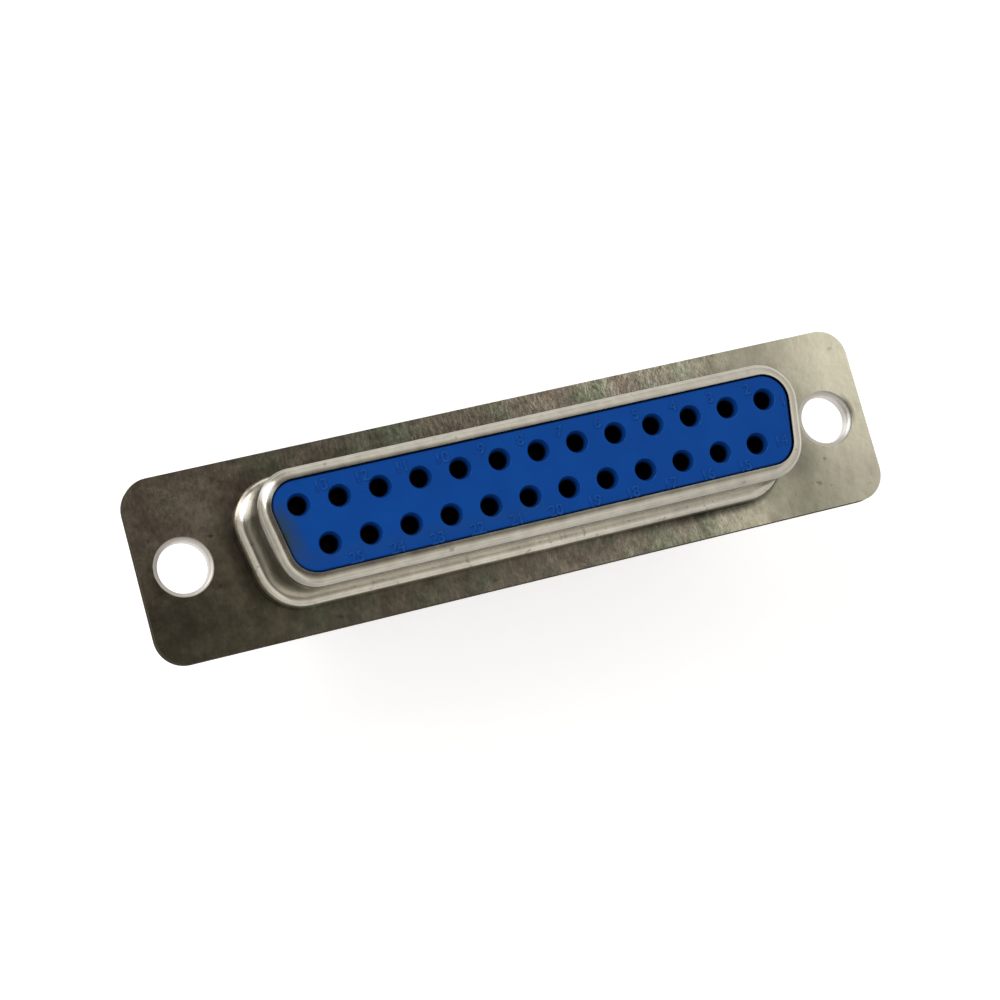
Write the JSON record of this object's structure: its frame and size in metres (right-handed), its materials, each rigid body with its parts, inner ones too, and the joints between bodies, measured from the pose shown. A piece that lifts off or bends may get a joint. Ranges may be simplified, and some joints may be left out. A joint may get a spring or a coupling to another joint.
{
  "type": "d-sub socket connector",
  "caption": "Panel connector with a D-shaped metal shroud on a flat two-hole flange, a blue insulator with two rows of socket contacts, and solder cups behind",
  "frame": {"origin": "centre of the front of the flange, midway between the two mounting holes", "axes": "+X along the flange, +Y from the row of 12 contacts to the row of 13, +Z out of the mating face"},
  "size_m": [0.053, 0.0126, 0.0169],
  "materials": {
    "plated_steel": "bright plated, slightly mottled",
    "blue_moulding": "moulded, satin",
    "contact_metal": "thin bright plating"
  },
  "bodies": {
    "root": {"front_shell": "plated_steel", "rear_shell": "plated_steel", "front_insulator": "blue_moulding", "rear_insulator": "blue_moulding", "contact_01": "contact_metal", "contact_02": "contact_metal", "contact_03": "contact_metal", "contact_04": "contact_metal", "contact_05": "contact_metal", "contact_06": "contact_metal", "contact_07": "contact_metal", "contact_08": "contact_metal", "contact_09": "contact_metal", "contact_10": "contact_metal", "contact_11": "contact_metal", "contact_12": "contact_metal", "contact_13": "contact_metal", "contact_14": "contact_metal", "contact_15": "contact_metal", "contact_16": "contact_metal", "contact_17": "contact_metal", "contact_18": "contact_metal", "contact_19": "contact_metal", "contact_20": "contact_metal", "contact_21": "contact_metal", "contact_22": "contact_metal", "contact_23": "contact_metal", "contact_24": "contact_metal", "contact_25": "contact_metal"}
  },
  "joints": []
}
